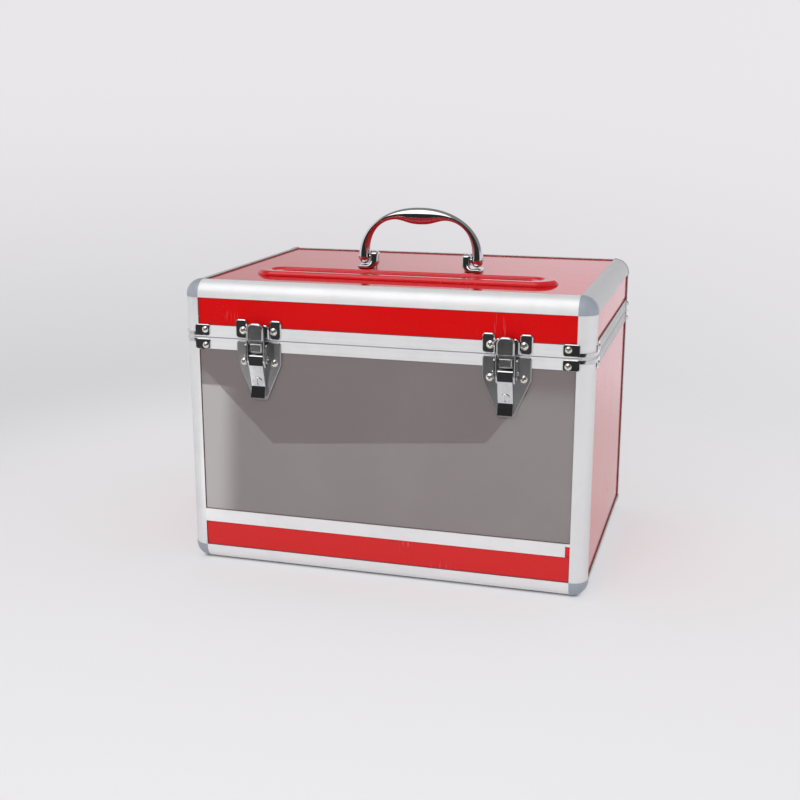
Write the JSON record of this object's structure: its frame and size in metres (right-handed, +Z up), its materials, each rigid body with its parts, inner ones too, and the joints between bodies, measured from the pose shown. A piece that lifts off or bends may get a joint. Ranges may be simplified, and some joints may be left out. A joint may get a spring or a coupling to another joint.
{
  "type": "ballot box",
  "caption": "Aluminium-framed tabletop ballot box with smoked window, letter slot, folding handle, hinged lid and lockable draw latches.",
  "frame": {"origin": "under the middle of the box's frame, on the surface it stands on", "axes": "+X to the right seen from the front, +Y to the back where the hinges are, +Z up"},
  "size_m": [0.3648, 0.2755, 0.3127],
  "materials": {
    "red_panel": "high-gloss red laminate sheet",
    "red_plastic": "moulded gloss red plastic",
    "aluminium": "extruded, satin anodised",
    "grey_plastic": "moulded grey plastic, semi-matt",
    "smoked_acrylic": "smoked acrylic sheet, polished",
    "chrome": "bright chrome plate",
    "plated_steel": "pressed steel, nickel plated",
    "steel": "pressed steel, zinc plated",
    "rivet": "domed blind rivet, plain"
  },
  "bodies": {
    "body": {"back_panel": "red_panel", "body_braces": "chrome", "body_post_front_left": "aluminium", "body_post_front_right": "aluminium", "body_post_rear_left": "aluminium", "body_post_rear_right": "aluminium", "body_rim_back": "aluminium", "body_rim_front": "aluminium", "body_rim_left": "aluminium", "body_rim_right": "aluminium", "body_rivets": "rivet", "bottom_corner_caps": "grey_plastic", "bottom_panel": "red_panel", "bottom_rail_back": "aluminium", "bottom_rail_front": "aluminium", "bottom_rail_left": "aluminium", "bottom_rail_right": "aluminium", "front_strip": "red_panel", "hinge_body_leaves": "steel", "hinge_pins": "steel", "latch_base_left": "plated_steel", "latch_base_right": "plated_steel", "latch_pivot_pins": "chrome", "left_panel": "red_panel", "right_panel": "red_panel", "window": "smoked_acrylic", "window_trim": "aluminium"},
    "lid": {"handle_brackets": "chrome", "handle_pins": "chrome", "handle_screws": "rivet", "hinge_lid_leaves": "steel", "latch_keepers": "chrome", "lid_braces": "chrome", "lid_corner_caps": "grey_plastic", "lid_panel_back": "red_panel", "lid_panel_front": "red_panel", "lid_panel_left": "red_panel", "lid_panel_right": "red_panel", "lid_panel_top": "red_panel", "lid_posts": "aluminium", "lid_rim_back": "aluminium", "lid_rim_front": "aluminium", "lid_rim_left": "aluminium", "lid_rim_right": "aluminium", "lid_rivets": "rivet", "slot_surround": "red_plastic", "top_rail_back": "aluminium", "top_rail_front": "aluminium", "top_rail_left": "aluminium", "top_rail_right": "aluminium"},
    "handle": {"handle": "chrome"},
    "lever_left": {"latch_lever_left": "chrome", "latch_hook_pin_left": "chrome"},
    "hook_left": {"latch_hook_left": "chrome"},
    "key_left": {"latch_key_plug_left": "chrome"},
    "lever_right": {"latch_lever_right": "chrome", "latch_hook_pin_right": "chrome"},
    "hook_right": {"latch_hook_right": "chrome"},
    "key_right": {"latch_key_plug_right": "chrome"}
  },
  "joints": [
    {"name": "lid_hinge", "type": "hinge", "parent": "body", "child": "lid", "pos_m": [0, 0.1332, 0.20755], "axis": [-1, 0, 0], "range_deg": [0, 100]},
    {"name": "handle_fold", "type": "hinge", "parent": "lid", "child": "handle", "pos_m": [0, 0, 0.2656], "axis": [1, 0, 0], "range_deg": [-86, 86]},
    {"name": "lever_left_swing", "type": "hinge", "parent": "body", "child": "lever_left", "pos_m": [-0.109, -0.1356, 0.1935], "axis": [-1, 0, 0], "range_deg": [0, 110]},
    {"name": "hook_left_swing", "type": "hinge", "parent": "lever_left", "child": "hook_left", "pos_m": [-0.109, -0.1346, 0.1866], "axis": [-1, 0, 0], "range_deg": [-126.5, 0]},
    {"name": "key_left_turn", "type": "hinge", "parent": "lever_left", "child": "key_left", "pos_m": [-0.109, -0.13471, 0.172], "axis": [0, -0.9707, -0.2401], "range_deg": [0, 90]},
    {"name": "lever_right_swing", "type": "hinge", "parent": "body", "child": "lever_right", "pos_m": [0.109, -0.1356, 0.1935], "axis": [-1, 0, 0], "range_deg": [0, 110]},
    {"name": "hook_right_swing", "type": "hinge", "parent": "lever_right", "child": "hook_right", "pos_m": [0.109, -0.1346, 0.1866], "axis": [-1, 0, 0], "range_deg": [-126.5, 0]},
    {"name": "key_right_turn", "type": "hinge", "parent": "lever_right", "child": "key_right", "pos_m": [0.109, -0.13471, 0.172], "axis": [0, -0.9707, -0.2401], "range_deg": [0, 90]}
  ],
  "couplings": [
    {"joint": "hook_left_swing", "follows": "lever_left_swing", "ratio": -1.15},
    {"joint": "hook_right_swing", "follows": "lever_right_swing", "ratio": -1.15}
  ]
}
